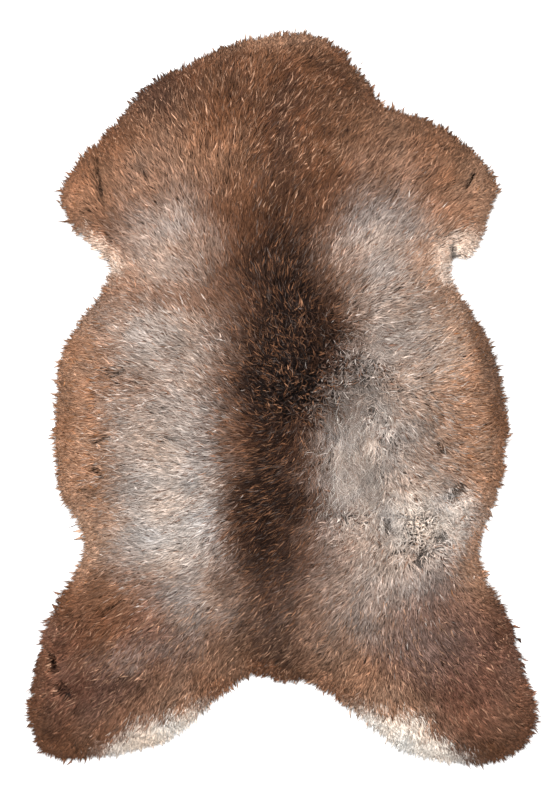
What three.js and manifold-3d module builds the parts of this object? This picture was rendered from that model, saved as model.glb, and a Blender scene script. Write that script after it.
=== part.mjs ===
// A brown sheepskin laid flat with its wool up: one lumpy slab of fleece with a flat underside and locks at its rim.
// Millimetres, +Z up, +Y towards the neck, the middle of the underside at the origin.
import * as THREE from "three";
import { mergeVertices } from "three/addons/utils/BufferGeometryUtils.js";
import Module from "manifold-3d";

// Depth of the wool
const PILE_DEPTH = 36;
const RIM_HEIGHT = 13;
const SHOULDER_WIDTH = 48;

// How far the dense wool stops short of the tips of the locks, and how finely the slab is made
const RIM_INSET = 13;
const EDGE_POINTS_PER_SPAN = 4;
const SURFACE_STEP = 19;
const CLEARANCE = 20;

// Staples: the small uneven lumps that wool gathers into
const STAPLE_PITCH = 46;
const STAPLE_REACH = 23;
const STAPLE_RISE = 4.5;

// Locks at the rim
const LOCK_PITCH = 17;
const LOCK_RADIUS = 11.5;
const LOCK_SIDES = 3;
const LOCK_STEPS = 2;
const LOCK_BELLY = 1.45;
const LOCK_ROOT = 6;
const LOCK_SWAY = 6;
const LOCK_REACH_CHANGE = 5;
const LOCK_SIZE_CHANGE = 0.2;

const WOOL_COLOUR = "#7d6351";
const WOOL_ROUGHNESS = 0.95;

// The rim of the wool, clockwise from the neck
const RIM = [
  { at: "neck crown", x: 29, y: 523 },
  { at: "neck right corner", x: 83, y: 501 },
  { at: "neck right side", x: 126, y: 450 },
  { at: "neck right notch", x: 151, y: 417 },
  { at: "right shoulder", x: 208, y: 400 },
  { at: "right foreleg top", x: 273, y: 355 },
  { at: "right foreleg tip", x: 310, y: 302 },
  { at: "right foreleg side", x: 296, y: 254 },
  { at: "right foreleg heel", x: 275, y: 199 },
  { at: "right armpit", x: 241, y: 189 },
  { at: "below right armpit", x: 253, y: 155 },
  { at: "right breast", x: 299, y: 79 },
  { at: "right flank", x: 321, y: -9 },
  { at: "right belly", x: 317, y: -108 },
  { at: "right waist", x: 284, y: -219 },
  { at: "right thigh", x: 328, y: -309 },
  { at: "right hock", x: 348, y: -387 },
  { at: "right hind tip", x: 365, y: -446 },
  { at: "right hind corner", x: 341, y: -501 },
  { at: "right hind toe", x: 267, y: -521 },
  { at: "right hind inner side", x: 168, y: -499 },
  { at: "right inner thigh", x: 90, y: -437 },
  { at: "right of the tail", x: 33, y: -403 },
  { at: "tail", x: 4, y: -409 },
  { at: "left of the tail", x: -36, y: -392 },
  { at: "left inner thigh", x: -94, y: -433 },
  { at: "left hind inner side", x: -161, y: -488 },
  { at: "left hind toe", x: -258, y: -511 },
  { at: "left hind corner", x: -338, y: -505 },
  { at: "left hind tip", x: -361, y: -434 },
  { at: "left hock", x: -336, y: -314 },
  { at: "left waist", x: -283, y: -207 },
  { at: "left belly", x: -319, y: -129 },
  { at: "left flank", x: -324, y: -9 },
  { at: "left breast", x: -310, y: 77 },
  { at: "below left armpit", x: -259, y: 152 },
  { at: "left armpit", x: -249, y: 189 },
  { at: "left foreleg side", x: -286, y: 223 },
  { at: "left foreleg tip", x: -317, y: 278 },
  { at: "left foreleg top", x: -293, y: 339 },
  { at: "left shoulder", x: -241, y: 385 },
  { at: "left neck notch", x: -219, y: 420 },
  { at: "neck left side", x: -165, y: 463 },
  { at: "neck left corner", x: -66, y: 508 },
];

// Swells that stand above the pile, with their reach along the turned axis and across it
const SWELLS = [
  { at: "silver tuft on the right hip", x: 192, y: -180, along: 46, across: 38, turn: 20, rise: 8 },
  { at: "wavy right flank", x: 97, y: -58, along: 90, across: 48, turn: 90, rise: 5 },
  { at: "upper right flank", x: 154, y: 150, along: 85, across: 30, turn: -15, rise: 5 },
  { at: "left flank", x: -165, y: -172, along: 80, across: 55, turn: 90, rise: 5 },
  { at: "upper left flank", x: -175, y: 105, along: 75, across: 40, turn: 10, rise: 4 },
  { at: "tuft on the left thigh", x: -229, y: -302, along: 36, across: 26, turn: 30, rise: 6 },
  { at: "left haunch", x: -235, y: -425, along: 85, across: 45, turn: 35, rise: 4 },
  { at: "right haunch", x: 225, y: -375, along: 85, across: 55, turn: -40, rise: 5 },
  { at: "collar", x: -25, y: 440, along: 120, across: 38, turn: 8, rise: 4 },
  { at: "left shoulder", x: -175, y: 345, along: 60, across: 40, turn: 35, rise: 4 },
  { at: "right shoulder", x: 170, y: 330, along: 75, across: 40, turn: -25, rise: 4 },
];

// Partings where the wool opens and lies lower
const PARTINGS = [
  { at: "left foreleg", fromX: -260, fromY: 367, toX: -248, toY: 265, width: 15, drop: 11 },
  { at: "left shoulder", fromX: -190, fromY: 330, toX: -172, toY: 298, width: 13, drop: 8 },
  { at: "right foreleg", fromX: 232, fromY: 308, toX: 270, toY: 334, width: 15, drop: 10 },
  { at: "right side above the belly", fromX: 216, fromY: -30, toX: 228, toY: -82, width: 13, drop: 8 },
  { at: "right side below the belly", fromX: 224, fromY: -146, toX: 248, toY: -118, width: 14, drop: 9 },
  { at: "left of the silver tuft", fromX: 144, fromY: -160, toX: 162, toY: -192, width: 13, drop: 9 },
  { at: "below the silver tuft", fromX: 192, fromY: -232, toX: 232, toY: -186, width: 14, drop: 11 },
  { at: "left flank", fromX: -170, fromY: -58, toX: -142, toY: -64, width: 12, drop: 7 },
  { at: "left hind leg", fromX: -328, fromY: -335, toX: -290, toY: -412, width: 15, drop: 9 },
  { at: "tail", fromX: -14, fromY: -315, toX: -2, toY: -392, width: 16, drop: 8 },
];

const wasm = await Module();
wasm.setup();

// A repeatable number from 0 to 1 for a counter and a purpose
function scatter(counter, purpose) {
  const wave = Math.sin(counter * 12.9898 + purpose * 78.233) * 43758.5453;
  return wave - Math.floor(wave);
}

// The same number spread evenly about zero
function change(counter, purpose, reach) {
  return (2 * scatter(counter, purpose) - 1) * reach;
}

const rimCurve = new THREE.CatmullRomCurve3(
  RIM.map((row) => new THREE.Vector3(row.x, row.y, 0)),
  true,
  "catmullrom",
);

// The direction out of the pelt at a place on the rim, which runs clockwise
function outwardAt(share) {
  const forward = rimCurve.getTangent(share);
  return new THREE.Vector2(-forward.y, forward.x);
}

// The edge of the dense wool, a little inside the rim
function denseEdge() {
  const count = RIM.length * EDGE_POINTS_PER_SPAN;
  const points = [];
  for (let i = 0; i < count; i += 1) {
    const share = i / count;
    const rim = rimCurve.getPoint(share);
    const outward = outwardAt(share);
    points.push(new THREE.Vector2(rim.x - outward.x * RIM_INSET, rim.y - outward.y * RIM_INSET));
  }
  return points;
}

// Distance from a point to a straight stretch
function distanceToStretch(x, y, from, to) {
  const runX = to.x - from.x;
  const runY = to.y - from.y;
  const along = ((x - from.x) * runX + (y - from.y) * runY) / (runX * runX + runY * runY);
  const share = THREE.MathUtils.clamp(along, 0, 1);
  return Math.hypot(x - from.x - runX * share, y - from.y - runY * share);
}

// How far a point lies inside the edge of the dense wool, and zero outside it
function distanceInside(x, y, edge) {
  let nearest = Infinity;
  let inside = false;
  edge.forEach((from, i) => {
    const to = edge[(i + 1) % edge.length];
    nearest = Math.min(nearest, distanceToStretch(x, y, from, to));
    const crosses = from.y > y !== to.y > y;
    if (crosses && x < from.x + ((to.x - from.x) * (y - from.y)) / (to.y - from.y)) {
      inside = !inside;
    }
  });
  return inside ? nearest : 0;
}

function swellAt(x, y, swell) {
  const turn = THREE.MathUtils.degToRad(swell.turn);
  const along = (x - swell.x) * Math.cos(turn) + (y - swell.y) * Math.sin(turn);
  const across = (y - swell.y) * Math.cos(turn) - (x - swell.x) * Math.sin(turn);
  return swell.rise * Math.exp(-((along / swell.along) ** 2) - (across / swell.across) ** 2);
}

function partingAt(x, y, parting) {
  const from = { x: parting.fromX, y: parting.fromY };
  const to = { x: parting.toX, y: parting.toY };
  return parting.drop * Math.exp(-((distanceToStretch(x, y, from, to) / parting.width) ** 2));
}

// Staples on a loose lattice: some stand up and some lie low
function scatteredStaples(box) {
  const staples = [];
  let counter = 0;
  for (let x = box.min.x; x < box.max.x; x += STAPLE_PITCH) {
    for (let y = box.min.y; y < box.max.y; y += STAPLE_PITCH) {
      counter += 1;
      staples.push({
        x: x + change(counter, 4, STAPLE_PITCH / 2),
        y: y + change(counter, 5, STAPLE_PITCH / 2),
        along: STAPLE_REACH,
        across: STAPLE_REACH,
        turn: 0,
        rise: change(counter, 6, STAPLE_RISE),
      });
    }
  }
  return staples;
}

// Height of the wool, which rounds down to the rim and carries swells, staples and partings
function woolHeight(x, y, edge, lumps) {
  const inward = Math.min(distanceInside(x, y, edge) / SHOULDER_WIDTH, 1);
  const crown = Math.sqrt(1 - (1 - inward) ** 2);
  let lump = 0;
  lumps.forEach((swell) => {
    lump += swellAt(x, y, swell);
  });
  PARTINGS.forEach((parting) => {
    lump -= partingAt(x, y, parting);
  });
  return RIM_HEIGHT + (PILE_DEPTH - RIM_HEIGHT + lump) * crown;
}

// A closed geometry as a solid for joining and cutting
function solidOf(geometry) {
  geometry.deleteAttribute("normal");
  geometry.deleteAttribute("uv");
  const merged = mergeVertices(geometry);
  return new wasm.Manifold(
    new wasm.Mesh({
      numProp: 3,
      vertProperties: merged.attributes.position.array,
      triVerts: new Uint32Array(merged.index.array),
    }),
  );
}

// A block over the whole pelt, lumpy above and reaching below the floor
function lumpyBlock(edge) {
  const box = new THREE.Box2().setFromPoints(edge).expandByScalar(CLEARANCE);
  const lumps = [...SWELLS, ...scatteredStaples(box)];
  const size = box.getSize(new THREE.Vector2());
  const middle = box.getCenter(new THREE.Vector2());
  const stepsX = Math.round(size.x / SURFACE_STEP);
  const stepsY = Math.round(size.y / SURFACE_STEP);
  const block = new THREE.BoxGeometry(size.x, size.y, 1, stepsX, stepsY, 1);
  block.translate(middle.x, middle.y, 0);
  const position = block.attributes.position;
  for (let i = 0; i < position.count; i += 1) {
    const isTop = position.getZ(i) > 0;
    position.setZ(i, isTop ? woolHeight(position.getX(i), position.getY(i), edge, lumps) : -CLEARANCE);
  }
  return solidOf(block);
}

// The flat underside and upright wall of the dense wool, taller than any swell
function edgePrism(edge) {
  const prism = new THREE.ExtrudeGeometry(new THREE.Shape(edge), {
    depth: PILE_DEPTH + CLEARANCE,
    bevelEnabled: false,
  });
  return solidOf(prism);
}

// One lock: a three-sided tapering wedge that lies flat on the floor and points out of the pelt
function rimLock(counter, count) {
  const share = counter / count;
  const rim = rimCurve.getPointAt(share);
  const outward = outwardAt(rimCurve.getUtoTmapping(share));
  const reach = RIM_INSET + LOCK_ROOT + change(counter, 1, LOCK_REACH_CHANGE);
  const radius = LOCK_RADIUS * (1 + change(counter, 2, LOCK_SIZE_CHANGE));
  const sway = change(counter, 3, LOCK_SWAY);
  const lock = new THREE.ConeGeometry(radius, reach, LOCK_SIDES, LOCK_STEPS);
  lock.translate(0, reach / 2, 0);
  const position = lock.attributes.position;
  for (let i = 0; i < position.count; i += 1) {
    const along = position.getY(i) / reach;
    const isMiddle = along > 0.01 && along < 0.99;
    const girth = isMiddle ? LOCK_BELLY : 1;
    position.setX(i, position.getX(i) * girth + sway * along ** 2);
    position.setZ(i, (position.getZ(i) + (radius / 2) * (1 - along)) * girth);
  }
  lock.rotateZ(Math.atan2(outward.y, outward.x) - Math.PI / 2);
  const root = RIM_INSET + LOCK_ROOT;
  lock.translate(rim.x - outward.x * root, rim.y - outward.y * root, 0);
  return solidOf(lock);
}

function rimLocks() {
  const count = Math.round(rimCurve.getLength() / LOCK_PITCH);
  const locks = [];
  for (let i = 0; i < count; i += 1) {
    locks.push(rimLock(i, count));
  }
  return locks;
}

// A solid as a named mesh
function meshOf(solid, name, material) {
  const made = solid.getMesh();
  const geometry = new THREE.BufferGeometry();
  geometry.setAttribute("position", new THREE.BufferAttribute(made.vertProperties, 3));
  geometry.setIndex(new THREE.BufferAttribute(made.triVerts, 1));
  geometry.computeVertexNormals();
  const mesh = new THREE.Mesh(geometry, material);
  mesh.name = name;
  return mesh;
}

const edge = denseEdge();
const slab = lumpyBlock(edge).intersect(edgePrism(edge));
const fleece = wasm.Manifold.union([slab, ...rimLocks()]);

const wool = new THREE.MeshStandardMaterial({
  color: WOOL_COLOUR,
  roughness: WOOL_ROUGHNESS,
  metalness: 0,
});

const group = new THREE.Group();
group.add(meshOf(fleece, "sheepskin", wool));

export default group;
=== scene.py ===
"""A brown sheepskin laid flat, wool side up: suede hide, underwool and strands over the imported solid."""

import math
from collections import namedtuple

import bpy
import numpy as np
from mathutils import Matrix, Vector
from mathutils.bvhtree import BVHTree


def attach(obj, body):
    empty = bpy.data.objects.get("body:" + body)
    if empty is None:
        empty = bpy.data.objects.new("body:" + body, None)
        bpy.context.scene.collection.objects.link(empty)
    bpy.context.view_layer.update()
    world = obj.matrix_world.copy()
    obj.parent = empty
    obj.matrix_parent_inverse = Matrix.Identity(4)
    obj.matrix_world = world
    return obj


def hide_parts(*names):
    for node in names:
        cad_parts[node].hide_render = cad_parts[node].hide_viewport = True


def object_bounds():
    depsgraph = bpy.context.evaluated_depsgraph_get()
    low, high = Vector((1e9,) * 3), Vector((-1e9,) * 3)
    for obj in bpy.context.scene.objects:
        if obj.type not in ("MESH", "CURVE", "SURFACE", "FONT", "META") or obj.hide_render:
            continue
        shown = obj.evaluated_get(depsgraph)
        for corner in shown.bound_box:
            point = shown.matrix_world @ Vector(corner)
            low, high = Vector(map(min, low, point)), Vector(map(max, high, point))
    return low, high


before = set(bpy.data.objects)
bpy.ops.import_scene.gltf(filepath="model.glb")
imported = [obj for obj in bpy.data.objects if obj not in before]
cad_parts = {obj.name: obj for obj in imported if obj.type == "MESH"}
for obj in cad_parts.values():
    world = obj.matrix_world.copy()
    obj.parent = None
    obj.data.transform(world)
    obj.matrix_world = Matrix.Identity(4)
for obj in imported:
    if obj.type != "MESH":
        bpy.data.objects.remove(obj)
cad_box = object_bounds()
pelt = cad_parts["sheepskin"]

# Sizes are in millimetres until a mesh is made from them
MM = 0.001
SEED = 7
TINY = 1e-9

# Fields over the pelt
FIELD_STEP = 4.0
FIELD_MARGIN = 30.0
FIELD_BLUR = 2
SLOPE_BLUR = 3
DENSE_HEIGHT = 11.5
RIM_HEIGHT = 13.0
RIM_FALL = 17.0
LOWEST_TIP = 1.2

# Hide and underwool
HIDE_THICKNESS = 2.5
HIDE_SCALE = (0.955, 0.97)
UNDERWOOL_SCALE = (0.945, 0.965)
UNDERWOOL_HEIGHT = 0.62
UNDERWOOL_VOXEL = 10.0
# Painted shade: the underwool takes the wool's colour darkened by this much, less under pale wool
UNDERWOOL_SHADE = 0.16
UNDERWOOL_SMOOTHING = 3
JOIN_DISTANCE = 0.01

# Strands of wool, which gather into clumps
CLUMP_PITCH = 5.95
CLUMP_LOOSENESS = 0.5
STRANDS_PER_CLUMP = 9
ROOT_SCATTER = 3.9
STRAND_REACH = (19.0, 32.0)
REACH_VARIETY = (0.7, 1.25)
STRAND_RADIUS = (0.27, 0.46)
TIP_GATHER = 0.9
TIP_JITTER = 1.8
CLUMP_TURN = 9.0
STRAND_TURN = 12.0
STRAND_BOW = 1.8
TAPER = 2.2
CELL_MARGIN = 0.06
ROOT_LIFT = 0.42
BEND_AT = 0.45
BEND_LIFT = 0.86
TIP_LIFT = (0.9, 1.1)
CLUMP_LIFT = 0.03

# Tousled wool is ruffled, and where most tousled it is longer, waves and gathers into locks
CALM_WANDER = 14.0
WANDER_PITCH = 30.0
RUFFLE_TURN = 30.0
RUFFLE_REACH = 0.75
WAVY_FROM = 34.0
WAVY_REACH = 1.35
WAVY_AGREEMENT = 0.5
WAVE_SIDEWAYS = 3.8
WAVES_PER_STRAND = 1.8
WAVY_RINGS = 5
WAVY_PARTED = 0.5
LOCK_PITCH = 15.0
LOCK_GATHER = 0.4
LOCK_TURN = 22.0
LOCK_TINT = 0.24
# Painted shade between the locks: wavy clumps darken towards a lock's edge
LOCK_EDGE = 9.0
LOCK_EDGE_SHADE = 0.28
LOCK_NEATNESS = 0.8

# Towards the rim the wool turns outwards and its hairs part and thin
RIM_BLEND = 34.0
RIM_PULL = 1.1
RIM_GATHER = 1.1
RIM_REACH = (0.2, 0.5)
# Painted light: strands towards the rim are made lighter, against the shade of the thin rim wool
RIM_PAINTED_LIGHT = 0.3
RIM_ROOTS = 2.5
RIM_WIDTH = 14.0
RIM_CROWD = 3
RIM_THINNESS = 0.55

# Colours of the wool as they look, and painted shade along each strand: dark at the root, light at the tip
WOOL = {
    "cream": "#fff4e8",
    "silver": "#b8ada5",
    "ash": "#a09085",
    "fawn": "#bea08a",
    "tan": "#ab866d",
    "russet": "#90694f",
    "rust": "#8a5c38",
    "smoke": "#554943",
    "brown": "#6a4833",
    "mink": "#755448",
    "umber": "#452f25",
    "black": "#160f0d",
}
WOOL_GAIN = 0.99
MOST_REFLECTED = 0.93
# Painted shade and light along each strand: dark at the root, where the wool above shades it, light at the
# tip; less of both on pale wool
ROOT_SHADE = 0.5
BEND_SHADE = 0.8
TIP_SHADE = 1.15
PALE_WOOL_SHADE_EASING = 0.9
PALE_EVENNESS = 0.8
TIP_BLEACH = (0.85, 1.4)
CLUMP_TINT = 0.1
STRAND_TINT = 0.27
DRIFT_TINT = 0.26
DRIFT_PITCH = 15.0
DRIFT_WARMTH = 0.11
WARMTH_WEIGHTS = (0.5, -0.3, -1.0)
WARMTH_PITCH = 26.0
COLOUR_AHEAD = 0.6
COLOUR_SCATTER = 7.0
COLOUR_SWAY = 17.0
COLOUR_SWAY_PITCH = 38.0
FLECK_STRENGTH = 0.8
WOOL_ROUGHNESS = 0.6
WOOL_SPECULAR = 0.08

# The suede side of the hide, mottled by its nap
SUEDE_DARK = (0.34, 0.25, 0.16, 1)
SUEDE_LIGHT = (0.58, 0.46, 0.33, 1)
SUEDE_ROUGHNESS = 0.9
NAP_SCALE = 18.0
NAP_DETAIL = 6.0

# Stage, in metres
FLOOR_SIZE = 8.0
FLOOR_COLOUR = (0.9, 0.9, 0.9, 1)
CAMERA_HEIGHT = 3.0
VIEW_LENGTH = 1.1352
VIEW_MIDDLE = (-0.0085, -0.0014)
LIGHT_HEIGHT = 3.6
LIGHT_SIZE = 2.6
LIGHT_POWER = 230.0
LIGHT_PLACE = (-0.4, 1.0)
SKY_COLOUR = (1, 1, 1, 1)
SKY_STRENGTH = 0.8

# Where the wool changes colour, over a brown ground
Patch = namedtuple("Patch", "at x y along across turn wool cover edge")
PATCHES = [
    Patch("neck crown", 20, 485, 95, 26, -5, "russet", 0.4, 1),
    Patch("golden rim of the neck", -8, 512, 92, 15, 4, "tan", 0.7, 1.5),
    Patch("dark brow of the neck", 76, 472, 32, 13, -35, "umber", 0.6, 1),
    Patch("right nape", 128, 402, 46, 15, -40, "umber", 0.6, 1),
    Patch("left side of the neck", -178, 432, 62, 42, 42, "umber", 0.85, 1),
    Patch("middle of the neck", 2, 402, 20, 95, 0, "umber", 0.8, 1),
    Patch("left streak of the neck", -62, 430, 12, 60, 12, "umber", 0.4, 1),
    Patch("right streak of the neck", 72, 440, 10, 50, -30, "umber", 0.35, 1),
    Patch("left shoulder", -185, 330, 100, 50, 12, "russet", 0.62, 2),
    Patch("left collar", -105, 350, 60, 42, 10, "russet", 0.4, 1),
    Patch("right shoulder", 185, 345, 110, 62, -22, "russet", 0.75, 2),
    Patch("right collar", 105, 355, 55, 30, -20, "brown", 0.4, 1),
    Patch("middle of the collar", 0, 330, 34, 110, 0, "umber", 0.3, 1),
    Patch("left foreleg", -288, 275, 34, 55, -10, "tan", 0.45, 1),
    Patch("right foreleg", 285, 275, 32, 60, 10, "tan", 0.75, 1),
    Patch("left flank", -165, 0, 90, 300, 0, "ash", 0.92, 2),
    Patch("right flank", 162, 0, 84, 295, 0, "ash", 0.95, 2),
    Patch("left edge", -300, -10, 60, 190, 0, "tan", 0.9, 1.6),
    Patch("right edge", 276, -15, 56, 230, 0, "tan", 0.95, 1.6),
    Patch("left armpit", -225, 175, 30, 40, 0, "tan", 0.5, 1),
    Patch("right armpit", 222, 195, 34, 60, 0, "tan", 0.95, 1),
    Patch("left upper silver", -172, 240, 55, 36, 10, "silver", 0.25, 1),
    Patch("right upper silver", 125, 225, 64, 50, 15, "silver", 0.5, 1),
    Patch("left lower flank", -155, -185, 72, 105, 0, "silver", 1.0, 1.5),
    Patch("left brown band", -150, 142, 90, 17, -5, "brown", 0.6, 1.5),
    Patch("left silver band", -186, 103, 80, 16, -3, "silver", 0.5, 1),
    Patch("left mottled spot", -200, 15, 36, 24, 20, "brown", 0.45, 1),
    Patch("left silver streak", -150, -50, 52, 32, -10, "silver", 0.25, 1),
    Patch("right lower flank", 105, -160, 62, 110, 0, "silver", 0.6, 1),
    Patch("wavy wool", 98, -60, 50, 115, 0, "silver", 0.6, 1.5),
    Patch("silver tuft", 212, -178, 58, 50, 10, "silver", 1.0, 2),
    Patch("silver tuft tips", 205, -165, 46, 36, 10, "cream", 0.55, 1),
    Patch("below the silver tuft", 165, -245, 62, 45, 0, "silver", 0.6, 1),
    Patch("right side above the edge", 236, 60, 32, 85, 0, "fawn", 0.65, 1),
    Patch("left rim", -308, 20, 22, 90, 0, "brown", 0.4, 1),
    Patch("right rim", 300, 38, 28, 100, 7, "umber", 0.7, 1.5),
    Patch("left waist", -272, -195, 36, 52, 0, "fawn", 0.75, 1),
    Patch("left foreleg heel", -264, 211, 46, 22, -38, "cream", 0.5, 2),
    Patch("right foreleg heel", 264, 202, 44, 32, 20, "cream", 0.58, 2),
    Patch("saddle ground", -4, 60, 82, 170, 0, "umber", 0.85, 2),
    Patch("lower saddle ground", -10, -180, 56, 190, 0, "umber", 0.85, 2),
    Patch("withers", 4, 222, 66, 60, 0, "black", 0.6, 1.5),
    Patch("upper saddle", 6, 130, 66, 85, 0, "black", 0.92, 2),
    Patch("saddle", 8, 28, 84, 72, 0, "black", 1.0, 2),
    Patch("right side of the saddle", 72, 62, 28, 60, 0, "umber", 0.6, 1),
    Patch("spine", -16, -135, 44, 125, 0, "black", 0.8, 2),
    Patch("lower spine", -5, -320, 36, 75, 0, "umber", 0.9, 2),
    Patch("tail", -1, -378, 12, 36, 5, "black", 0.5, 1),
    Patch("left haunch", -240, -365, 120, 95, 30, "mink", 0.85, 2),
    Patch("left rump", -120, -295, 64, 48, 20, "ash", 0.7, 1),
    Patch("left thigh tuft", -235, -280, 60, 34, 30, "rust", 0.45, 1),
    Patch("left hind foot", -318, -430, 48, 75, 0, "umber", 0.3, 1),
    Patch("glow of the left thigh", -250, -338, 50, 24, 30, "rust", 0.5, 1),
    Patch("dark band of the left haunch", -206, -397, 76, 23, -12, "umber", 0.65, 1),
    Patch("grey band of the left haunch", -200, -360, 56, 13, 6, "ash", 0.5, 1),
    Patch("golden left ankle", -236, -448, 46, 25, 20, "russet", 0.35, 1),
    Patch("right haunch", 250, -370, 125, 95, -30, "mink", 0.9, 2),
    Patch("grey of the right haunch", 205, -322, 60, 48, -20, "ash", 0.25, 1),
    Patch("golden right foot", 315, -430, 42, 50, -20, "russet", 0.35, 1),
    Patch("dark rim of the right foot", 352, -460, 12, 45, 0, "umber", 0.5, 1),
    Patch("right rump", 95, -310, 66, 50, -20, "ash", 0.6, 1),
    Patch("right waist", 270, -240, 30, 50, 0, "tan", 0.7, 1),
    Patch("right thigh", 322, -330, 22, 70, 8, "umber", 0.5, 1),
    Patch("left inner thigh", -150, -415, 95, 36, 30, "tan", 0.5, 1),
    Patch("right inner thigh", 135, -418, 100, 40, -36, "tan", 0.85, 1),
    Patch("left inner leg", -164, -484, 96, 40, 24, "cream", 1.0, 3),
    Patch("right inner leg", 189, -492, 92, 34, -27, "cream", 1.0, 3),
]

# Stray hairs of another colour: the share of the strands that have it
Fleck = namedtuple("Fleck", "at x y along across turn wool share edge")
FLECKS = [
    Fleck("grey hairs in the saddle", -20, 0, 80, 330, 0, "smoke", 0.12, 2),
    Fleck("pale hairs in the saddle", -6, -80, 90, 240, 0, "russet", 0.05, 2),
    Fleck("brown hairs in the saddle", -6, 0, 95, 330, 0, "brown", 0.08, 2),
    Fleck("pale hairs of the neck", 0, 400, 300, 140, 0, "tan", 0.12, 2),
    Fleck("dark hairs of the neck", 0, 390, 300, 150, 0, "umber", 0.25, 2),
    Fleck("dark hairs of the flanks", 0, 0, 330, 280, 0, "brown", 0.1, 3),
    Fleck("bright hairs of the left flank", -165, -60, 90, 210, 0, "silver", 0.14, 2),
    Fleck("bright hairs of the right flank", 165, -20, 90, 250, 0, "silver", 0.16, 2),
    Fleck("pale hairs of the wavy wool", 108, -80, 44, 95, 0, "cream", 0.08, 2),
    Fleck("rust hairs of the left edge", -285, 0, 60, 220, 0, "rust", 0.15, 2),
    Fleck("rust hairs of the right edge", 280, 0, 60, 220, 0, "rust", 0.12, 2),
    Fleck("pale hairs of the haunches", 0, -360, 400, 90, 0, "tan", 0.13, 2),
    Fleck("dark hairs of the haunches", 0, -360, 400, 80, 0, "umber", 0.13, 2),
]

# Which way the tips point, in degrees anticlockwise from the right
Guide = namedtuple("Guide", "at x y heading reach")
GUIDES = [
    Guide("neck crown", 26, 500, 45, 55),
    Guide("left of the neck crown", -66, 480, 80, 55),
    Guide("left side of the neck", -165, 424, 120, 60),
    Guide("middle of the neck", -30, 410, 54, 60),
    Guide("right side of the neck", 97, 424, 52, 60),
    Guide("divide of the neck", -116, 382, 92, 50),
    Guide("collar", 12, 353, 53, 60),
    Guide("left shoulder", -200, 339, 126, 60),
    Guide("left foreleg", -279, 282, 140, 55),
    Guide("right shoulder", 197, 353, 45, 60),
    Guide("right foreleg", 267, 289, 38, 55),
    Guide("divide of the collar", -109, 297, 98, 50),
    Guide("left of the withers", -59, 240, 92, 50),
    Guide("withers", 12, 226, 68, 50),
    Guide("left upper flank", -172, 211, 138, 60),
    Guide("right upper flank", 140, 211, 50, 60),
    Guide("left of the saddle top", -87, 126, 130, 55),
    Guide("saddle", -16, 77, 133, 50),
    Guide("right of the saddle top", 69, 162, 50, 50),
    Guide("sweep beside the saddle", 133, 115, -5, 45),
    Guide("right flank", 211, 84, 24, 55),
    Guide("left flank", -187, 70, 160, 60),
    Guide("left upper edge", -279, 70, 165, 60),
    Guide("left of the saddle", -101, -16, 160, 55),
    Guide("left side", -187, -44, 180, 60),
    Guide("left edge", -286, -58, 176, 60),
    Guide("left lower side", -187, -143, 187, 60),
    Guide("left lower flank", -187, -200, 176, 55),
    Guide("left waist", -257, -228, 205, 55),
    Guide("left of the spine", -73, -200, 212, 60),
    Guide("spine", -16, -125, 205, 55),
    Guide("lower spine", -9, -257, 220, 60),
    Guide("right of the lower spine", 69, -228, 218, 60),
    Guide("rump", 26, -342, 222, 60),
    Guide("upper wavy wool", 97, -44, 265, 50),
    Guide("lower wavy wool", 104, -129, 258, 50),
    Guide("left haunch", -215, -342, 222, 65),
    Guide("left hind foot", -321, -427, 222, 65),
    Guide("left inner leg", -130, -413, 248, 55),
    Guide("divide of the right thigh", 168, -285, 265, 50),
    Guide("right haunch", 239, -342, 315, 65),
    Guide("right hind foot", 310, -427, 315, 65),
    Guide("right inner leg", 168, -455, 292, 50),
    Guide("right inner thigh", 97, -385, 235, 50),
    Guide("right edge", 282, -44, 2, 60),
    Guide("right waist", 253, -172, -40, 55),
    Guide("right of the wavy wool", 182, -58, -35, 50),
]

# Where the guides disagree or the wool leaves a bare place, strands are short and point all ways
UPRIGHT_REACH = 0.4
COVER_STEPS = (0.3, 0.6, 0.9)
COVER_BLUR = 6
PARTED_COVER = (0.35, 0.7)
AGREEMENT = (0.35, 0.85)
DIVIDE_TURN = 90.0

# Places where the wool stands away from a point
Whorl = namedtuple("Whorl", "at x y reach outward round")
WHORLS = [
    Whorl("silver tuft", 190, -180, 36, 1.0, 0.3),
    Whorl("curl beside the spine", 96, -150, 26, 0.2, 1.0),
]
WHORL_PULL = 2.5

# Where the wool is tousled: how far its direction wanders, in degrees
Tousle = namedtuple("Tousle", "at x y along across turn wander edge")
TOUSLES = [
    Tousle("right flank", 98, -45, 62, 135, 0, 48, 2),
    Tousle("silver tuft", 195, -175, 55, 50, 0, 40, 2),
    Tousle("saddle", 35, 45, 85, 80, 0, 33, 2),
]

# Partings, where the wool opens down to its roots; painted shade darkens the strands in them
Slit = namedtuple("Slit", "at x y length turn width")
SLITS = [
    Slit("left foreleg crease", -255, 310, 80, 100, 7),
    Slit("left foreleg nick", -190, 312, 22, 120, 7.5),
    Slit("right foreleg crease", 262, 305, 30, 60, 7),
    Slit("right armpit", 240, 205, 26, 110, 7),
    Slit("left upper flank", -229, 34, 26, 20, 7.5),
    Slit("left flank", -151, -58, 30, 165, 7.5),
    Slit("left edge", -250, -58, 26, 20, 7.5),
    Slit("left lower edge", -256, -102, 24, 140, 8),
    Slit("left lowest edge", -266, -128, 22, 175, 7),
    Slit("right flank", 221, -68, 24, 110, 7),
    Slit("right hook", 240, -130, 36, 55, 7),
    Slit("tuft left", 153, -178, 30, 110, 7),
    Slit("tuft right", 221, -194, 26, 40, 7),
    Slit("tuft lower", 195, -218, 32, 60, 8),
    Slit("left haunch", -236, -292, 40, 40, 6),
    Slit("left thigh", -318, -368, 32, 112, 6),
    Slit("left ankle", -300, -406, 28, 140, 6),
]
# Painted shade in the partings: how light their strands are kept, and how low they lie
SLIT_SHADE = 0.4
SLIT_LIFT = 0.72
SLIT_STOP = (0.6, 1.05)
SLIT_SHORTEST = 0.4

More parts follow.
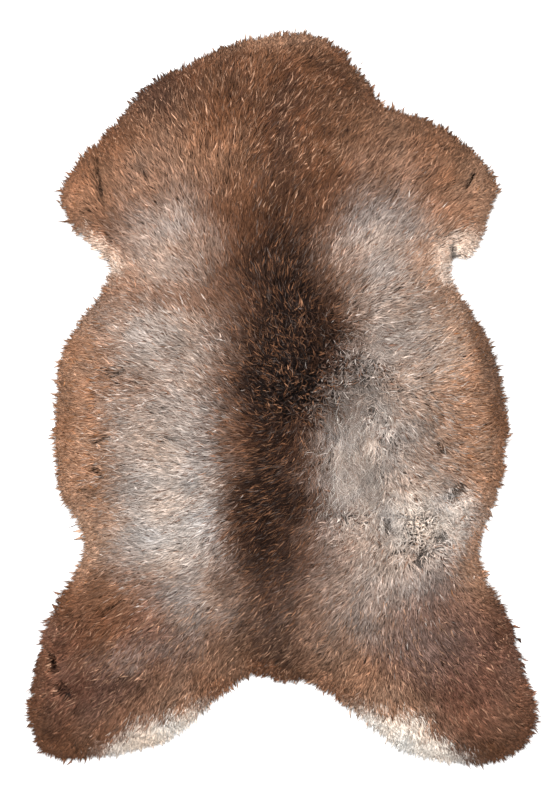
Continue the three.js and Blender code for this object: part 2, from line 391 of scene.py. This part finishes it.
rng = np.random.default_rng(SEED)
low, high = np.array(cad_box[0]) / MM, np.array(cad_box[1]) / MM
lattice_x = np.arange(low[0] - FIELD_MARGIN, high[0] + FIELD_MARGIN, FIELD_STEP)
lattice_y = np.arange(low[1] - FIELD_MARGIN, high[1] + FIELD_MARGIN, FIELD_STEP)


def linear_from_hex(code):
    """A hex colour as linear red, green and blue."""
    shown = np.array([int(code[i : i + 2], 16) for i in (1, 3, 5)]) / 255.0
    return np.where(shown <= 0.04045, shown / 12.92, ((shown + 0.055) / 1.055) ** 2.4)


def soft_oval(x, y, row):
    """One in the middle of a row's oval, falling to nothing outside it."""
    turn = math.radians(row.turn)
    along = (x - row.x) * math.cos(turn) + (y - row.y) * math.sin(turn)
    across = (y - row.y) * math.cos(turn) - (x - row.x) * math.sin(turn)
    return np.exp(-(((along / row.along) ** 2 + (across / row.across) ** 2) ** row.edge))


def read_between(values, column, row):
    """Values of a lattice between its points, at fractions of a column and a row."""
    column = np.clip(column, 0, values.shape[1] - 1.001)
    row = np.clip(row, 0, values.shape[0] - 1.001)
    left, below = column.astype(int), row.astype(int)
    right, up = column - left, row - below
    lower = values[below, left] * (1 - right) + values[below, left + 1] * right
    upper = values[below + 1, left] * (1 - right) + values[below + 1, left + 1] * right
    return lower * (1 - up) + upper * up


def field_at(values, x, y):
    """A field's value at each place."""
    return read_between(values, (x - lattice_x[0]) / FIELD_STEP, (y - lattice_y[0]) / FIELD_STEP)


def wandering(x, y, pitch):
    """Smooth noise from -1 to 1 with bumps about a pitch apart."""
    columns = int((lattice_x[-1] - lattice_x[0]) / pitch) + 3
    rows = int((lattice_y[-1] - lattice_y[0]) / pitch) + 3
    knots = rng.uniform(-1, 1, (rows, columns))
    return read_between(knots, (x - lattice_x[0]) / pitch, (y - lattice_y[0]) / pitch)


def blurred(values, times):
    """Each number mixed with its neighbours, so many times."""
    for _ in range(times):
        for axis in (0, 1):
            values = (np.roll(values, 1, axis) + 2 * values + np.roll(values, -1, axis)) / 4
    return values


def solid_heights():
    """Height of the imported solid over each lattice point, and zero beside it."""
    points = [v.co.copy() for v in pelt.data.vertices]
    faces = [tuple(p.vertices) for p in pelt.data.polygons]
    tree = BVHTree.FromPolygons(points, faces)
    found = np.zeros((len(lattice_y), len(lattice_x)))
    down = Vector((0, 0, -1))
    for row, y in enumerate(lattice_y):
        for column, x in enumerate(lattice_x):
            hit = tree.ray_cast(Vector((x * MM, y * MM, 1.0)), down)[0]
            found[row, column] = 0.0 if hit is None else hit.z / MM
    return found


def distances_inside(inside):
    """Distance from each lattice point to the edge of a region, negative outside it."""
    grid_x, grid_y = np.meshgrid(lattice_x, lattice_y)
    beside = np.zeros_like(inside)
    for axis in (0, 1):
        for step in (-1, 1):
            beside |= np.roll(inside, step, axis) & ~inside
    edge_x, edge_y = grid_x[beside], grid_y[beside]
    distance = np.empty(inside.shape)
    for row in range(len(lattice_y)):
        gap_x = grid_x[row][:, None] - edge_x[None, :]
        gap_y = grid_y[row][:, None] - edge_y[None, :]
        distance[row] = np.sqrt((gap_x**2 + gap_y**2).min(1))
    return np.where(inside, distance, -distance) - FIELD_STEP / 2


heights = solid_heights()
depth = blurred(distances_inside(heights > DENSE_HEIGHT), FIELD_BLUR)
slope_y, slope_x = np.gradient(blurred(depth, SLOPE_BLUR), FIELD_STEP)
beside_height = np.maximum(RIM_HEIGHT * (1 + depth / RIM_FALL), LOWEST_TIP)
beside_height = np.minimum(beside_height, RIM_HEIGHT)
top_height = blurred(np.where(heights > DENSE_HEIGHT, heights, beside_height), FIELD_BLUR)


def wool_top(x, y):
    """Height of the tips of the wool, which fall to the floor outside the dense wool."""
    return field_at(top_height, x, y)


def wool_colour(x, y):
    """Linear colour of the wool at each place."""
    colour = np.tile(linear_from_hex(WOOL["brown"]), (len(x), 1))
    for row in PATCHES:
        cover = (row.cover * soft_oval(x, y, row))[:, None]
        colour = colour * (1 - cover) + linear_from_hex(WOOL[row.wool]) * cover
    return colour


def paleness(colour):
    """Lightness of each colour, from nothing for black to one for white."""
    return np.clip(colour.mean(1), 0, 1)


def flecked(colour, x, y):
    """The colours with stray hairs of other colours among them."""
    for row in FLECKS:
        stray = rng.uniform(0, 1, len(x)) < row.share * soft_oval(x, y, row)
        cover = (FLECK_STRENGTH * stray)[:, None]
        colour = colour * (1 - cover) + linear_from_hex(WOOL[row.wool]) * cover
    return colour


def flow(x, y):
    """Direction of the tips as unit vectors, and how far the guides round each place agree."""
    run_x, run_y, total = np.zeros_like(x), np.zeros_like(x), np.full_like(x, TINY)
    for guide in GUIDES:
        weight = np.exp(-((x - guide.x) ** 2 + (y - guide.y) ** 2) / guide.reach**2)
        run_x += weight * math.cos(math.radians(guide.heading))
        run_y += weight * math.sin(math.radians(guide.heading))
        total += weight
    agreement = np.hypot(run_x, run_y) / total
    length = np.hypot(run_x, run_y) + TINY
    run_x, run_y = run_x / length, run_y / length
    for whorl in WHORLS:
        gap_x, gap_y = x - whorl.x, y - whorl.y
        far = np.hypot(gap_x, gap_y) + TINY
        near = np.exp(-((far / whorl.reach) ** 4))
        run_x += WHORL_PULL * near * (whorl.outward * gap_x - whorl.round * gap_y) / far
        run_y += WHORL_PULL * near * (whorl.outward * gap_y + whorl.round * gap_x) / far
        agreement *= 1 - np.exp(-((2 * far / whorl.reach) ** 2))
    rim = RIM_PULL * np.clip(1 - field_at(depth, x, y) / RIM_BLEND, 0, 1)
    run_x -= rim * field_at(slope_x, x, y)
    run_y -= rim * field_at(slope_y, x, y)
    length = np.hypot(run_x, run_y) + TINY
    return run_x / length, run_y / length, agreement


def covering(places):
    """How many of the places fall round each lattice point, as a share of the usual number."""
    found = np.zeros_like(depth)
    column = np.round((places[:, 0] - lattice_x[0]) / FIELD_STEP).astype(int)
    row = np.round((places[:, 1] - lattice_y[0]) / FIELD_STEP).astype(int)
    np.add.at(found, (row.clip(0, len(lattice_y) - 1), column.clip(0, len(lattice_x) - 1)), 1)
    found = blurred(found, COVER_BLUR)
    return found / np.median(found[depth > RIM_BLEND])


def wander_at(x, y):
    """How far the wool's direction wanders at each place, in degrees."""
    wander = np.full(len(x), CALM_WANDER)
    for row in TOUSLES:
        wander = wander + (row.wander - CALM_WANDER) * soft_oval(x, y, row)
    return wander


def beside_slit(places, slit):
    """Distance of each place across a slit and along it, as a share of its half length."""
    turn = math.radians(slit.turn)
    gap_x, gap_y = places[:, 0] - slit.x, places[:, 1] - slit.y
    across = gap_y * math.cos(turn) - gap_x * math.sin(turn)
    along = gap_x * math.cos(turn) + gap_y * math.sin(turn)
    return across, along / (slit.length / 2)


def slit_opening(places):
    """One in the middle of a slit and nothing away from all of them."""
    opening = np.zeros(len(places))
    for slit in SLITS:
        across, along = beside_slit(places, slit)
        opening = np.maximum(opening, np.exp(-((2 * across / slit.width) ** 2) - along**4))
    return opening


def stopped_at_slits(roots, tips):
    """Tips drawn back so that no strand lies across a slit."""
    for slit in SLITS:
        start, start_along = beside_slit(roots, slit)
        end, end_along = beside_slit(tips, slit)
        crosses = (start * end < 0) & (np.abs(start_along + end_along) < 2)
        share_to_slit = np.abs(start) / (np.abs(start) + np.abs(end) + TINY)
        stop = rng.uniform(*SLIT_STOP, len(roots)) * share_to_slit
        share = np.where(crosses, np.clip(stop, SLIT_SHORTEST, 1), 1)
        tips = roots + (tips - roots) * share[:, None]
    return tips


def strand_paths(roots, tips, bow, wave, phase, tip_lift, steps):
    """Points along each strand from its root to its tip, leaning over the wool below."""
    run = tips - roots
    length = np.hypot(run[:, 0], run[:, 1])[:, None] + TINY
    side = np.stack([-run[:, 1], run[:, 0]], 1) / length
    path = np.empty((len(roots), len(steps), 3))
    for i, step in enumerate(steps):
        waving = np.sin(phase + 2 * math.pi * WAVES_PER_STRAND * step)
        sway = bow * 4 * step * (1 - step) + wave * step * waving
        place = roots + run * step + side * sway[:, None]
        if step < BEND_AT:
            lift = ROOT_LIFT + (BEND_LIFT - ROOT_LIFT) * step / BEND_AT
        else:
            lift = BEND_LIFT + (tip_lift - BEND_LIFT) * (step - BEND_AT) / (1 - BEND_AT)
        path[:, i, :2] = place
        path[:, i, 2] = np.maximum(wool_top(place[:, 0], place[:, 1]) * lift, LOWEST_TIP)
    return path


def tube_faces(rings):
    """Triangles of a closed tube with a point at each end and rings of three between them."""
    last = 1 + 3 * rings
    faces = []
    for j in range(3):
        k = (j + 1) % 3
        faces.append((0, 1 + k, 1 + j))
        for here in range(1, last - 3, 3):
            faces.append((here + j, here + k, here + 3 + k))
            faces.append((here + j, here + 3 + k, here + 3 + j))
        faces.append((last - 3 + j, last - 3 + k, last))
    return np.array(faces)


# A straight strand is a closed kite: its root, its left and right side at the bend, and its tip
# A wavy strand is a tube with rings of three points: left, right and below
Build = namedtuple("Build", "steps spokes faces")
STRAIGHT = Build(
    steps=np.array([0, BEND_AT, 1]),
    spokes=np.radians([0, 180]),
    faces=np.array([(0, 2, 1), (3, 1, 2), (0, 1, 3), (0, 3, 2)]),
)
WAVY = Build(
    steps=np.linspace(0, 1, WAVY_RINGS + 2),
    spokes=np.radians([0, 180, 270]),
    faces=tube_faces(WAVY_RINGS),
)


def strand_points(path, radius, build):
    """Vertices of closed strands: a root, the spokes at each inner step and a tip."""
    points = [path[:, :1]]
    for i in range(1, len(build.steps) - 1):
        forward = path[:, i + 1] - path[:, i - 1]
        forward /= np.linalg.norm(forward, axis=1)[:, None] + TINY
        side = np.stack([-forward[:, 1], forward[:, 0], np.zeros(len(path))], 1)
        side /= np.linalg.norm(side, axis=1)[:, None] + TINY
        up = np.cross(forward, side)
        girth = radius * min(1, TAPER * (1 - build.steps[i]))
        for angle in build.spokes:
            spoke = side * math.cos(angle) + up * math.sin(angle)
            points.append((path[:, i] + spoke * girth[:, None])[:, None])
    points.append(path[:, -1:])
    return np.concatenate(points, 1)


def along_strand(build):
    """Share of the strand's length at each of its vertices."""
    inner = np.repeat(build.steps[1:-1], len(build.spokes))
    return np.concatenate([[0], inner, [1]])


def held_back(colour):
    """The colours with those too bright for wool made darker in the same hue."""
    return colour * np.minimum(1, MOST_REFLECTED / colour.max(-1, keepdims=True))


def strand_colours(base, bleach, build):
    """Colour at each vertex: painted shade dark at the root and painted light at the tip, both weaker on
    pale wool, and bleached at the tip.
    """
    share = along_strand(build)
    # Painted shade and light along the strand, eased on pale wool
    shade = np.interp(share, [0, BEND_AT, 1], [ROOT_SHADE, BEND_SHADE, TIP_SHADE])[None, :]
    shade = shade ** (1 - PALE_WOOL_SHADE_EASING * paleness(base))[:, None]
    bleached = 1 + (bleach[:, None] - 1) * share[None, :]
    return held_back(base[:, None, :] * (shade * bleached)[:, :, None])


def strand_cells(first, count, across, build):
    """A small cell of the colour map for each strand, with its length running up the cell."""
    ring = np.linspace(CELL_MARGIN, 1 - CELL_MARGIN, len(build.spokes))
    sideways = np.concatenate([[0.5], np.tile(ring, len(build.steps) - 2), [0.5]])
    upward = np.clip(along_strand(build), CELL_MARGIN, 1 - CELL_MARGIN)
    cell = first + np.arange(count)
    u = ((cell % across)[:, None] + sideways[None, :]) / across
    v = ((cell // across)[:, None] + upward[None, :]) / across
    return np.stack([u, v], 2)


def paint(mesh, colours):
    """Stores a colour at each vertex for the wool's material."""
    layer = mesh.color_attributes.new("wool", "FLOAT_COLOR", "POINT")
    opaque = np.ones((len(colours), 4), np.float32)
    opaque[:, :3] = colours
    layer.data.foreach_set("color", opaque.ravel())


def joined_mesh(name, points, faces, colours, cells):
    """An object from arrays, with a colour at each point and a place on the colour map."""
    mesh = bpy.data.meshes.new(name)
    mesh.vertices.add(len(points))
    mesh.vertices.foreach_set("co", (points * MM).astype(np.float32).ravel())
    mesh.loops.add(faces.size)
    mesh.loops.foreach_set("vertex_index", faces.astype(np.int32).ravel())
    mesh.polygons.add(len(faces))
    mesh.polygons.foreach_set("loop_start", np.arange(0, faces.size, 3, dtype=np.int32))
    mesh.polygons.foreach_set("use_smooth", np.ones(len(faces), bool))
    mesh.update(calc_edges=True)
    paint(mesh, colours)
    layer = mesh.uv_layers.new(name="OFBake")
    layer.uv.foreach_set("vector", cells[faces.ravel()].astype(np.float32).ravel())
    made = bpy.data.objects.new(name, mesh)
    bpy.context.scene.collection.objects.link(made)
    return made


def loose_lattice(pitch):
    """Places about a pitch apart, over the whole of the pelt's box."""
    columns = np.arange(lattice_x[0], lattice_x[-1], pitch)
    rows = np.arange(lattice_y[0], lattice_y[-1], pitch * math.sqrt(0.75))
    x, y = np.meshgrid(columns, rows)
    x[1::2] += pitch / 2
    places = np.stack([x.ravel(), y.ravel()], 1)
    return places + rng.uniform(-CLUMP_LOOSENESS, CLUMP_LOOSENESS, places.shape) * pitch


def clump_places():
    """Middles of the clumps over the dense wool, with more of them at the rim."""
    found = []
    for layer in range(RIM_CROWD):
        places = loose_lattice(CLUMP_PITCH)
        inside = field_at(depth, places[:, 0], places[:, 1])
        innermost = np.inf if layer == 0 else RIM_WIDTH
        found.append(places[(inside > RIM_ROOTS) & (inside < innermost)])
    return np.concatenate(found)


clumps = clump_places()
count = len(clumps)
run_x, run_y, agreement = flow(clumps[:, 0], clumps[:, 1])
wander = wander_at(clumps[:, 0], clumps[:, 1])
turning = wander * wandering(clumps[:, 0], clumps[:, 1], WANDER_PITCH) + rng.normal(0, CLUMP_TURN, count)
clump_heading = np.arctan2(run_y, run_x) + np.radians(turning)
clump_wavy = (wander > WAVY_FROM) & (agreement > WAVY_AGREEMENT)
clump_rim = np.clip(1 - field_at(depth, clumps[:, 0], clumps[:, 1]) / RIM_BLEND, 0, 1)
settled = np.interp(agreement, AGREEMENT, (0, 1))
clump_reach = rng.uniform(*STRAND_REACH, count) * (UPRIGHT_REACH + (1 - UPRIGHT_REACH) * settled)
clump_reach = np.where(clump_wavy, clump_reach * WAVY_REACH, clump_reach)
clump_phase = rng.uniform(0, 2 * math.pi, count)
ruffle = np.clip((wander - CALM_WANDER) / (WAVY_FROM - CALM_WANDER), 0, 1) * ~clump_wavy
clump_reach *= 1 - (1 - RUFFLE_REACH) * ruffle
clump_lift = rng.normal(0, CLUMP_LIFT, count)
drift = DRIFT_TINT * wandering(clumps[:, 0], clumps[:, 1], DRIFT_PITCH)
clump_tint = np.exp(rng.normal(0, CLUMP_TINT, count) + drift)
tip_places = clumps.copy()

# Clumps of wavy wool share the direction, wave and tint of the lock nearest to them
locks = loose_lattice(LOCK_PITCH)
in_lock = clumps[clump_wavy]
gaps = in_lock[:, None] - locks[None, :]
lock_distance = np.hypot(gaps[..., 0], gaps[..., 1])
of_lock = lock_distance.argmin(1)
lock_x, lock_y, _ = flow(locks[:, 0], locks[:, 1])
lock_turn = wander_at(locks[:, 0], locks[:, 1]) * wandering(locks[:, 0], locks[:, 1], WANDER_PITCH)
lock_turn += rng.normal(0, LOCK_TURN, len(locks))
clump_heading[clump_wavy] = (np.arctan2(lock_y, lock_x) + np.radians(lock_turn))[of_lock]
clump_phase[clump_wavy] = rng.uniform(0, 2 * math.pi, len(locks))[of_lock]
clump_tint[clump_wavy] *= np.exp(rng.normal(0, LOCK_TINT, len(locks)))[of_lock]
# Painted shade between the locks: clumps farther from a lock's middle are darker
clump_tint[clump_wavy] *= 1 - LOCK_EDGE_SHADE * np.clip(lock_distance.min(1) / LOCK_EDGE, 0, 1) ** 2
tip_places[clump_wavy] += LOCK_GATHER * (locks[of_lock] - in_lock)

# Where the wool parts and leaves a bare place, its strands are short and point all ways
clump_run = np.stack([np.cos(clump_heading), np.sin(clump_heading)], 1) * clump_reach[:, None]
covered = covering(np.concatenate([clumps + step * clump_run for step in COVER_STEPS]))
parted = np.interp(field_at(covered, clumps[:, 0], clumps[:, 1]), PARTED_COVER, (1, 0))
parted *= 1 - clump_rim
clump_wavy &= parted < WAVY_PARTED
clump_reach *= 1 - (1 - UPRIGHT_REACH) * parted
settled = np.minimum(settled, 1 - parted)

sway_x = COLOUR_SWAY * wandering(clumps[:, 0], clumps[:, 1], COLOUR_SWAY_PITCH)
sway_y = COLOUR_SWAY * wandering(clumps[:, 0], clumps[:, 1], COLOUR_SWAY_PITCH)
colour_places = clumps + np.stack([sway_x, sway_y], 1) + rng.normal(0, COLOUR_SCATTER, (count, 2))
colour_places += COLOUR_AHEAD * clump_run
warmth = DRIFT_WARMTH * wandering(clumps[:, 0], clumps[:, 1], WARMTH_PITCH)
clump_colour = wool_colour(colour_places[:, 0], colour_places[:, 1])
clump_colour *= np.exp(warmth[:, None] * np.array(WARMTH_WEIGHTS))

total = count * STRANDS_PER_CLUMP
of_clump = np.repeat(np.arange(count), STRANDS_PER_CLUMP)
scatter = rng.normal(0, ROOT_SCATTER, (total, 2))
roots = clumps[of_clump] + scatter
clump_ruffle = RUFFLE_TURN * ruffle + DIVIDE_TURN * (1 - settled)
clump_spread = np.where(clump_wavy, LOCK_NEATNESS * STRAND_TURN, STRAND_TURN + clump_ruffle)
strand_turn = rng.normal(0, 1, total) * clump_spread[of_clump]
heading = clump_heading[of_clump] + np.radians(strand_turn)
reach = clump_reach[of_clump] * rng.uniform(*REACH_VARIETY, total)
reach *= 1 - (1 - rng.uniform(*RIM_REACH, total)) * clump_rim[of_clump]
gather = (TIP_GATHER + (RIM_GATHER - TIP_GATHER) * clump_rim)[of_clump]
tips = tip_places[of_clump] + np.stack([np.cos(heading), np.sin(heading)], 1) * reach[:, None]
tips += scatter * gather[:, None] + rng.normal(0, TIP_JITTER, (total, 2))
tips = stopped_at_slits(roots, tips)
bow = rng.normal(0, STRAND_BOW, total)
tip_lift = rng.uniform(*TIP_LIFT, total) + clump_lift[of_clump]
radius = rng.uniform(*STRAND_RADIUS, total) * (1 - (1 - RIM_THINNESS) * clump_rim)[of_clump]
is_wavy = clump_wavy[of_clump]
wave = np.where(is_wavy, WAVE_SIDEWAYS, 0)
phase = clump_phase[of_clump]
base = flecked(clump_colour[of_clump], roots[:, 0], roots[:, 1]) * WOOL_GAIN
tint = clump_tint[of_clump] * np.exp(rng.normal(0, STRAND_TINT, total))
tint **= 1 - PALE_EVENNESS * paleness(base) ** 2
# Strands rooted or bent in a parting get painted shade and lie lower
in_slit = np.maximum(slit_opening(roots), slit_opening(roots + (tips - roots) * BEND_AT))
# Painted light on the strands towards the rim
glow = 1 + RIM_PAINTED_LIGHT * clump_rim[of_clump]
base *= (tint * glow * (1 - (1 - SLIT_SHADE) * in_slit))[:, None]
tip_lift *= 1 - (1 - SLIT_LIFT) * in_slit
bleach = rng.uniform(*TIP_BLEACH, total)


def strands_of(chosen, build, first, across):
    """Points, faces, colours and map cells of the chosen strands, all of the same build."""
    path = strand_paths(
        roots[chosen], tips[chosen], bow[chosen], wave[chosen], phase[chosen], tip_lift[chosen], build.steps
    )
    points = strand_points(path, radius[chosen], build)
    offsets = np.arange(len(chosen))[:, None, None] * points.shape[1]
    faces = (build.faces[None] + offsets).reshape(-1, 3)
    colours = strand_colours(base[chosen], bleach[chosen], build)
    cells = strand_cells(first, len(chosen), across, build)
    return points.reshape(-1, 3), faces, colours.reshape(-1, 3), cells.reshape(-1, 2)


def wool_strip(name, chosen):
    """One lengthwise strip of strands, straight and wavy ones together."""
    across = math.ceil(math.sqrt(len(chosen)))
    straight, wavy = chosen[~is_wavy[chosen]], chosen[is_wavy[chosen]]
    points, faces, colours, cells = strands_of(straight, STRAIGHT, 0, across)
    more = strands_of(wavy, WAVY, len(straight), across)
    return joined_mesh(
        name,
        np.concatenate([points, more[0]]),
        np.concatenate([faces, more[1] + len(points)]),
        np.concatenate([colours, more[2]]),
        np.concatenate([cells, more[3]]),
    )


STRIPS = ("wool_left_belly", "wool_left_flank", "wool_back", "wool_right_flank", "wool_right_belly")
from_left = np.argsort(clumps[of_clump, 0], kind="stable")
triangles = np.where(is_wavy, len(WAVY.faces), len(STRAIGHT.faces))
running = np.cumsum(triangles[from_left])
strip_of = (running * len(STRIPS)) // (running[-1] + 1)
strips = [wool_strip(name, from_left[strip_of == i]) for i, name in enumerate(STRIPS)]


def select_only(piece):
    """Makes a piece the only one selected, and the active one."""
    bpy.ops.object.select_all(action="DESELECT")
    piece.select_set(True)
    bpy.context.view_layer.objects.active = piece


def pelt_copy(name):
    """A joined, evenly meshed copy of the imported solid."""
    made = bpy.data.objects.new(name, pelt.data.copy())
    bpy.context.scene.collection.objects.link(made)
    made.data.materials.clear()
    select_only(made)
    bpy.ops.object.mode_set(mode="EDIT")
    bpy.ops.mesh.select_all(action="SELECT")
    bpy.ops.mesh.remove_doubles(threshold=JOIN_DISTANCE * MM)
    bpy.ops.object.mode_set(mode="OBJECT")
    remesh = made.modifiers.new("remesh", "REMESH")
    remesh.mode = "VOXEL"
    remesh.voxel_size = UNDERWOOL_VOXEL * MM
    bpy.ops.object.modifier_apply(modifier=remesh.name)
    smooth = made.modifiers.new("smooth", "SMOOTH")
    smooth.iterations = UNDERWOOL_SMOOTHING
    bpy.ops.object.modifier_apply(modifier=smooth.name)
    bpy.ops.object.shade_smooth()
    return made


def resize(piece, scale, lift):
    """Scales a piece about the origin and lifts it, in its own vertices."""
    select_only(piece)
    bpy.ops.object.mode_set(mode="EDIT")
    bpy.ops.mesh.select_all(action="SELECT")
    bpy.ops.transform.resize(value=scale, center_override=(0, 0, 0))
    bpy.ops.transform.translate(value=(0, 0, lift))
    bpy.ops.object.mode_set(mode="OBJECT")


def make_underwool():
    """The soft wool below the strands, in the wool's colour darkened by painted shade: less under pale
    wool, to black under the slits.
    """
    made = pelt_copy("underwool")
    resize(made, (*UNDERWOOL_SCALE, UNDERWOOL_HEIGHT), HIDE_THICKNESS * MM)
    places = np.empty(len(made.data.vertices) * 3)
    made.data.vertices.foreach_get("co", places)
    places = places.reshape(-1, 3) / MM
    colour = WOOL_GAIN * wool_colour(places[:, 0], places[:, 1])
    # Painted shade darkens the underwool, less under pale wool, and to black under the slits
    shade = UNDERWOOL_SHADE ** (1 - paleness(colour) ** 2) * (1 - slit_opening(places))
    paint(made.data, held_back(colour * shade[:, None] + TINY))
    return made


def make_hide():
    """The skin itself: the lowest slice of the pelt."""
    made = pelt_copy("hide")
    resize(made, (*HIDE_SCALE, 1), 0)
    bpy.ops.object.mode_set(mode="EDIT")
    bpy.ops.mesh.select_all(action="SELECT")
    bpy.ops.mesh.bisect(
        plane_co=(0, 0, HIDE_THICKNESS * MM),
        plane_no=(0, 0, 1),
        use_fill=True,
        clear_outer=True,
    )
    bpy.ops.object.mode_set(mode="OBJECT")
    return made


underwool = make_underwool()
hide = make_hide()


def wool_material():
    """Wool in the colours painted on its vertices."""
    material = bpy.data.materials.new("wool")
    material.use_nodes = True
    nodes, links = material.node_tree.nodes, material.node_tree.links
    surface = nodes["Principled BSDF"]
    colour = nodes.new("ShaderNodeVertexColor")
    colour.layer_name = "wool"
    links.new(colour.outputs["Color"], surface.inputs["Base Color"])
    surface.inputs["Roughness"].default_value = WOOL_ROUGHNESS
    surface.inputs["Specular IOR Level"].default_value = WOOL_SPECULAR
    return material


def suede_material():
    """Tanned suede, mottled by its nap."""
    material = bpy.data.materials.new("suede")
    material.use_nodes = True
    nodes, links = material.node_tree.nodes, material.node_tree.links
    surface = nodes["Principled BSDF"]
    place = nodes.new("ShaderNodeTexCoord")
    nap = nodes.new("ShaderNodeTexNoise")
    nap.inputs["Scale"].default_value = NAP_SCALE
    nap.inputs["Detail"].default_value = NAP_DETAIL
    tone = nodes.new("ShaderNodeValToRGB")
    tone.color_ramp.elements[0].color = SUEDE_DARK
    tone.color_ramp.elements[1].color = SUEDE_LIGHT
    links.new(place.outputs["Object"], nap.inputs["Vector"])
    links.new(nap.outputs["Fac"], tone.inputs["Fac"])
    links.new(tone.outputs["Color"], surface.inputs["Base Color"])
    surface.inputs["Roughness"].default_value = SUEDE_ROUGHNESS
    return material


wool = wool_material()
for piece in [underwool, *strips]:
    piece.data.materials.append(wool)
    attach(piece, "root")
hide.data.materials.append(suede_material())
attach(hide, "root")
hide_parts("sheepskin")

# Stage
bpy.ops.object.select_all(action="DESELECT")
bpy.ops.mesh.primitive_plane_add(size=FLOOR_SIZE, location=(0, 0, 0))
floor = bpy.context.active_object
floor.name = "floor"
paper = bpy.data.materials.new("floor")
paper.use_nodes = True
paper_surface = paper.node_tree.nodes["Principled BSDF"]
paper_surface.inputs["Base Color"].default_value = FLOOR_COLOUR
paper_surface.inputs["Roughness"].default_value = 1.0
paper_surface.inputs["Specular IOR Level"].default_value = 0.0
floor.data.materials.append(paper)

world = bpy.data.worlds.new("studio")
bpy.context.scene.world = world
world.use_nodes = True
world.node_tree.nodes["Background"].inputs["Color"].default_value = SKY_COLOUR
world.node_tree.nodes["Background"].inputs["Strength"].default_value = SKY_STRENGTH

lamp = bpy.data.lights.new("key", "AREA")
lamp.shape = "SQUARE"
lamp.size = LIGHT_SIZE
lamp.energy = LIGHT_POWER
key = bpy.data.objects.new("key", lamp)
key.location = (*LIGHT_PLACE, LIGHT_HEIGHT)
key.rotation_euler = (-key.location).to_track_quat("-Z", "Y").to_euler()
bpy.context.scene.collection.objects.link(key)

lens = bpy.data.cameras.new("camera")
lens.sensor_fit = "VERTICAL"
lens.angle = 2 * math.atan(VIEW_LENGTH / 2 / CAMERA_HEIGHT)
camera = bpy.data.objects.new("camera", lens)
camera.location = (*VIEW_MIDDLE, CAMERA_HEIGHT)
bpy.context.scene.collection.objects.link(camera)
bpy.context.scene.camera = camera
bpy.context.scene.view_settings.view_transform = "Standard"
